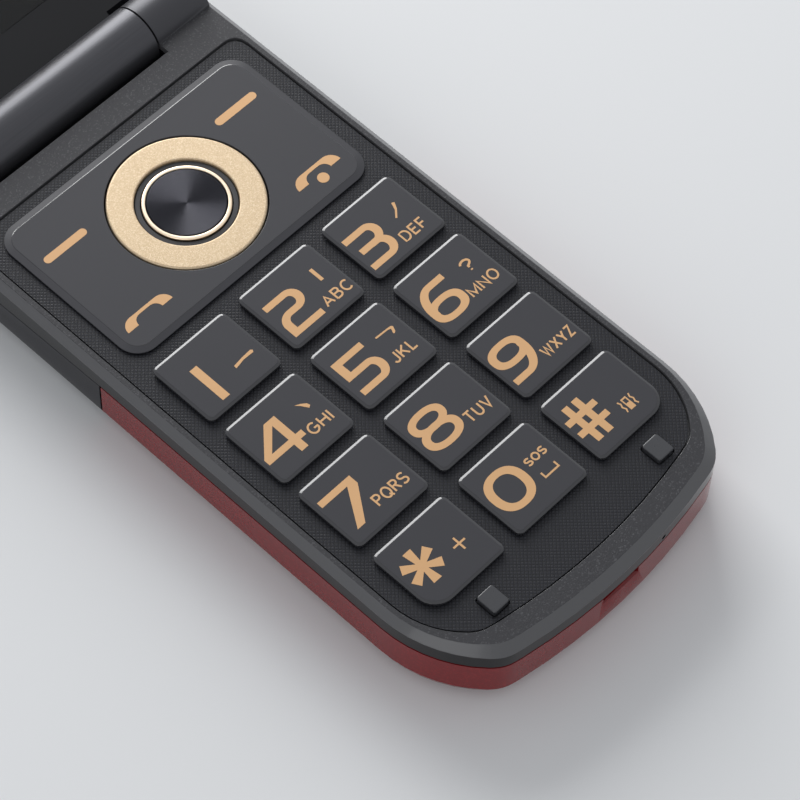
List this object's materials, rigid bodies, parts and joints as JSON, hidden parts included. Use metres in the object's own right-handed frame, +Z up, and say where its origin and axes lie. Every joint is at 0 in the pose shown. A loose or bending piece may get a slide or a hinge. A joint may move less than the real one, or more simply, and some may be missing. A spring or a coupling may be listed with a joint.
{
  "type": "flip phone",
  "caption": "Open flip phone with a large backlit keypad, gold navigation ring, hinged lid with a screen, and a red battery cover over a battery that comes out.",
  "frame": {"origin": "on the flat underside that the phone lies on, midway across and along the base", "axes": "X along the hinge, +Y from the keypad towards the lid, +Z up out of the keypad"},
  "size_m": [0.055, 0.2125, 0.0452],
  "materials": {
    "case": "sand-textured",
    "black_gloss": "polished",
    "panel": "fine square pattern",
    "keys": "silky, with gold figures",
    "gold": "fine sparkle, champagne gold",
    "dark_metal": "spun",
    "rubber": "matt",
    "silicone": "matt, clear grey",
    "dome_film": "film over metal domes",
    "board": "solder mask",
    "red_gloss": "deep gloss",
    "battery_wrap": "printed wrap over a metal can",
    "steel": "bright",
    "black_part": "moulded",
    "screen_glass": "polished",
    "screen": "dark when off",
    "torch_lens": "clear over phosphor",
    "amber_film": "amber film"
  },
  "bodies": {
    "base": {"front_case": "case", "keypad_panel": "panel", "bumper_left": "rubber", "bumper_right": "rubber", "keypad_mat": "silicone", "dome_sheet": "dome_film", "main_board": "board", "rear_case": "black_gloss", "battery_connector": "steel", "sim_holder": "steel", "loudspeaker": "black_part", "microphone": "steel", "charging_socket": "steel", "vibration_motor": "steel", "case_screw_right": "steel", "case_screw_left": "steel", "case_screw_end_right": "steel", "case_screw_end_left": "steel", "hinge_shaft": "steel", "hinge_bush": "steel"},
    "lid": {"lid_inner_case": "case", "lid_outer_cover": "red_gloss", "display_glass": "screen_glass", "display_module": "screen", "lid_board": "board", "earpiece": "black_part", "earpiece_grille": "steel", "camera_module": "black_part", "camera_window": "screen_glass", "torch_lamp": "torch_lens", "lid_screw_right": "steel", "lid_screw_left": "steel", "screw_plug_right": "rubber", "screw_plug_left": "rubber", "hinge_spring_unit": "steel", "flat_cable": "amber_film"},
    "soft_key_plate": {"function_plate": "keys"},
    "rocker": {"nav_carrier": "rubber"},
    "ring": {"nav_ring": "gold"},
    "centre_button": {"ok_key": "dark_metal", "ok_key_rim": "gold"},
    "cover": {"battery_cover": "red_gloss"},
    "pack": {"battery": "battery_wrap"},
    "button_1": {"key_1": "keys"},
    "button_2": {"key_2": "keys"},
    "button_3": {"key_3": "keys"},
    "button_4": {"key_4": "keys"},
    "button_5": {"key_5": "keys"},
    "button_6": {"key_6": "keys"},
    "button_7": {"key_7": "keys"},
    "button_8": {"key_8": "keys"},
    "button_9": {"key_9": "keys"},
    "button_star": {"key_star": "keys"},
    "button_0": {"key_0": "keys"},
    "button_hash": {"key_hash": "keys"}
  },
  "joints": [
    {"name": "lid_hinge", "type": "hinge", "parent": "base", "child": "lid", "pos_m": [0, 0.052, 0.01085], "axis": [1, 0, 0], "range_deg": [0, 160]},
    {"name": "press_1", "type": "slide", "parent": "base", "child": "button_1", "axis": [0, 0, -1], "range_m": [0, 0.00025], "stiffness_N_per_m": 1000, "springref_m": -0.0005},
    {"name": "press_2", "type": "slide", "parent": "base", "child": "button_2", "axis": [0, 0, -1], "range_m": [0, 0.00025], "stiffness_N_per_m": 1000, "springref_m": -0.0005},
    {"name": "press_3", "type": "slide", "parent": "base", "child": "button_3", "axis": [0, 0, -1], "range_m": [0, 0.00025], "stiffness_N_per_m": 1000, "springref_m": -0.0005},
    {"name": "press_4", "type": "slide", "parent": "base", "child": "button_4", "axis": [0, 0, -1], "range_m": [0, 0.00025], "stiffness_N_per_m": 1000, "springref_m": -0.0005},
    {"name": "press_5", "type": "slide", "parent": "base", "child": "button_5", "axis": [0, 0, -1], "range_m": [0, 0.00025], "stiffness_N_per_m": 1000, "springref_m": -0.0005},
    {"name": "press_6", "type": "slide", "parent": "base", "child": "button_6", "axis": [0, 0, -1], "range_m": [0, 0.00025], "stiffness_N_per_m": 1000, "springref_m": -0.0005},
    {"name": "press_7", "type": "slide", "parent": "base", "child": "button_7", "axis": [0, 0, -1], "range_m": [0, 0.00025], "stiffness_N_per_m": 1000, "springref_m": -0.0005},
    {"name": "press_8", "type": "slide", "parent": "base", "child": "button_8", "axis": [0, 0, -1], "range_m": [0, 0.00025], "stiffness_N_per_m": 1000, "springref_m": -0.0005},
    {"name": "press_9", "type": "slide", "parent": "base", "child": "button_9", "axis": [0, 0, -1], "range_m": [0, 0.00025], "stiffness_N_per_m": 1000, "springref_m": -0.0005},
    {"name": "press_star", "type": "slide", "parent": "base", "child": "button_star", "axis": [0, 0, -1], "range_m": [0, 0.00025], "stiffness_N_per_m": 1000, "springref_m": -0.0005},
    {"name": "press_0", "type": "slide", "parent": "base", "child": "button_0", "axis": [0, 0, -1], "range_m": [0, 0.00025], "stiffness_N_per_m": 1000, "springref_m": -0.0005},
    {"name": "press_hash", "type": "slide", "parent": "base", "child": "button_hash", "axis": [0, 0, -1], "range_m": [0, 0.00025], "stiffness_N_per_m": 1000, "springref_m": -0.0005},
    {"name": "press_plate", "type": "slide", "parent": "base", "child": "soft_key_plate", "axis": [0, 0, -1], "range_m": [0, 0.00025], "stiffness_N_per_m": 1500, "springref_m": -0.0005},
    {"name": "rock_along", "type": "hinge", "parent": "base", "child": "rocker", "pos_m": [0, 0.02515, 0.01277], "axis": [1, 0, 0], "range_deg": [-1.2, 1.2], "stiffness_Nm_per_rad": 0.1},
    {"name": "rock_across", "type": "hinge", "parent": "rocker", "child": "ring", "pos_m": [0, 0.02515, 0.01277], "axis": [0, 1, 0], "range_deg": [-1.2, 1.2], "stiffness_Nm_per_rad": 0.1},
    {"name": "press_centre", "type": "slide", "parent": "base", "child": "centre_button", "axis": [0, 0, -1], "range_m": [0, 0.00025], "stiffness_N_per_m": 1000, "springref_m": -0.0005},
    {"name": "cover_off", "type": "slide", "parent": "base", "child": "cover", "axis": [0, 0, -1], "range_m": [0, 0.024]},
    {"name": "battery_out", "type": "slide", "parent": "base", "child": "pack", "axis": [0, 0, -1], "range_m": [0, 0.012]}
  ],
  "couplings": [
    {"joint": "battery_out", "follows": "cover_off", "ratio": 0.5}
  ]
}
